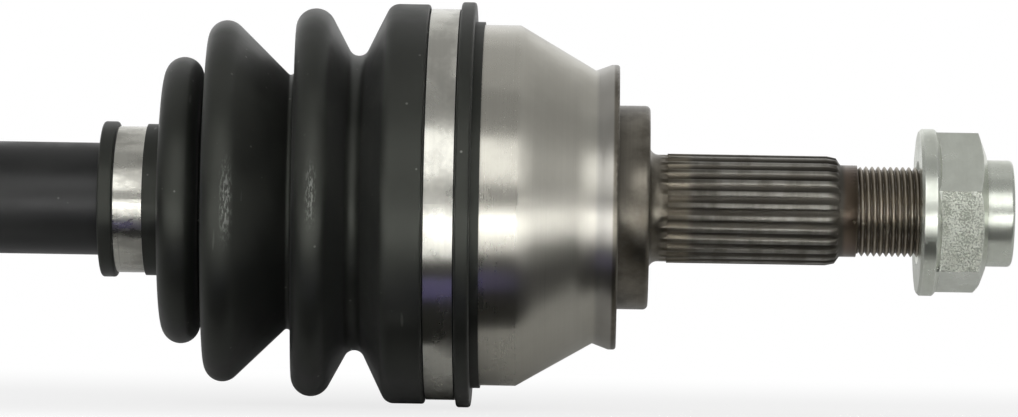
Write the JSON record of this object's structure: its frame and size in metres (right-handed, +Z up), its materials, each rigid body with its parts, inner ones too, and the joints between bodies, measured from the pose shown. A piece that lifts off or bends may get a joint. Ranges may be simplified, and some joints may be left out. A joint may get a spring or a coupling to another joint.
{
  "type": "drive shaft",
  "caption": "Front-wheel half shaft: a splined stub with hub nut on a bellows-booted ball joint, a solid bar, and a booted plunging tripod joint for the gearbox.",
  "frame": {"origin": "on the shaft's axis, in the plane of the shoulder that seats against the wheel bearing", "axes": "+X along the shaft towards the wheel, +Z up"},
  "size_m": [0.5584, 0.1007, 0.099],
  "materials": {
    "turned_steel": "turned and ground, with an oily film",
    "bar_paint": "satin black paint",
    "boot_rubber": "matt black rubber with a soft sheen",
    "band_steel": "bright rolled stainless strip",
    "nut_zinc": "zinc plated forging",
    "race_steel": "hardened and ground, greased",
    "ball_steel": "polished bearing steel, greased",
    "ring_steel": "blued spring steel",
    "shield_steel": "pressed sheet, black phosphate"
  },
  "bodies": {
    "bar": {"bar_shaft": "bar_paint", "outer_inner_race": "race_steel", "race_snap_ring": "ring_steel", "tripod_spider": "race_steel", "spider_ring_inboard": "ring_steel", "spider_ring_outboard": "ring_steel", "needles_side": "ball_steel", "roller_retaining_rings": "ring_steel", "outer_boot_small_band": "band_steel", "inner_boot_small_band": "band_steel"},
    "ball_pair": {"outer_balls_vertical": "ball_steel"},
    "ball_cage": {"outer_ball_cage": "race_steel", "outer_balls_side": "ball_steel"},
    "outer_boot": {"outer_boot": "boot_rubber"},
    "outer_joint": {"outer_joint_housing": "turned_steel", "outer_boot_large_band": "band_steel"},
    "hub_nut": {"hub_nut": "nut_zinc"},
    "needle_top": {"needles_top": "ball_steel"},
    "inner_boot": {"inner_boot": "boot_rubber"},
    "inner_joint": {"inner_joint_housing": "turned_steel", "inner_stub_ring": "ring_steel", "gearbox_dust_shield": "shield_steel", "inner_boot_large_band": "band_steel"},
    "roller_top": {"roller_top": "ball_steel"},
    "roller_left": {"roller_left": "ball_steel"},
    "roller_right": {"roller_right": "ball_steel"}
  },
  "joints": [
    {"name": "outer_ride", "type": "hinge", "parent": "bar", "child": "ball_pair", "pos_m": [-0.043, 0, 0], "axis": [0, 1, 0], "range_deg": [-6, 6], "deforming": ["outer_boot"]},
    {"name": "outer_steer", "type": "hinge", "parent": "ball_pair", "child": "outer_boot", "pos_m": [-0.043, 0, 0], "axis": [0, 0, 1], "range_deg": [-40, 40], "deforming": ["outer_boot"]},
    {"name": "outer_ride_far", "type": "hinge", "parent": "outer_boot", "child": "outer_joint", "pos_m": [-0.043, 0, 0], "axis": [0, 1, 0], "range_deg": [-6, 6], "deforming": ["outer_boot"]},
    {"name": "outer_cage_steer", "type": "hinge", "parent": "ball_pair", "child": "ball_cage", "pos_m": [-0.043, 0, 0], "axis": [0, 0, 1], "range_deg": [-20, 20]},
    {"name": "hub_nut_off", "type": "slide", "parent": "outer_joint", "child": "hub_nut", "axis": [1, 0, 0], "range_m": [-0.014, 0.03]},
    {"name": "inner_yaw", "type": "hinge", "parent": "bar", "child": "needle_top", "pos_m": [-0.36, 0, 0], "axis": [0, 0, 1], "range_deg": [-6, 6], "deforming": ["inner_boot"]},
    {"name": "inner_ride", "type": "hinge", "parent": "needle_top", "child": "inner_boot", "pos_m": [-0.36, 0, 0], "axis": [0, 1, 0], "range_deg": [-12, 12], "deforming": ["inner_boot"]},
    {"name": "plunge", "type": "slide", "parent": "inner_boot", "child": "inner_joint", "axis": [1, 0, 0], "range_m": [-0.012, 0.012], "deforming": ["inner_boot"]},
    {"name": "roller_spin_top", "type": "hinge", "parent": "bar", "child": "roller_top", "pos_m": [-0.36, 0, 0], "axis": [0, 0, 1], "continuous": true},
    {"name": "roller_spin_left", "type": "hinge", "parent": "bar", "child": "roller_left", "pos_m": [-0.36, 0, 0], "axis": [0, -0.866, -0.5], "continuous": true},
    {"name": "roller_spin_right", "type": "hinge", "parent": "bar", "child": "roller_right", "pos_m": [-0.36, 0, 0], "axis": [0, 0.866, -0.5], "continuous": true}
  ],
  "couplings": [
    {"joint": "outer_ride_far", "follows": "outer_ride", "ratio": 1},
    {"joint": "outer_cage_steer", "follows": "outer_steer", "ratio": 0.5}
  ]
}
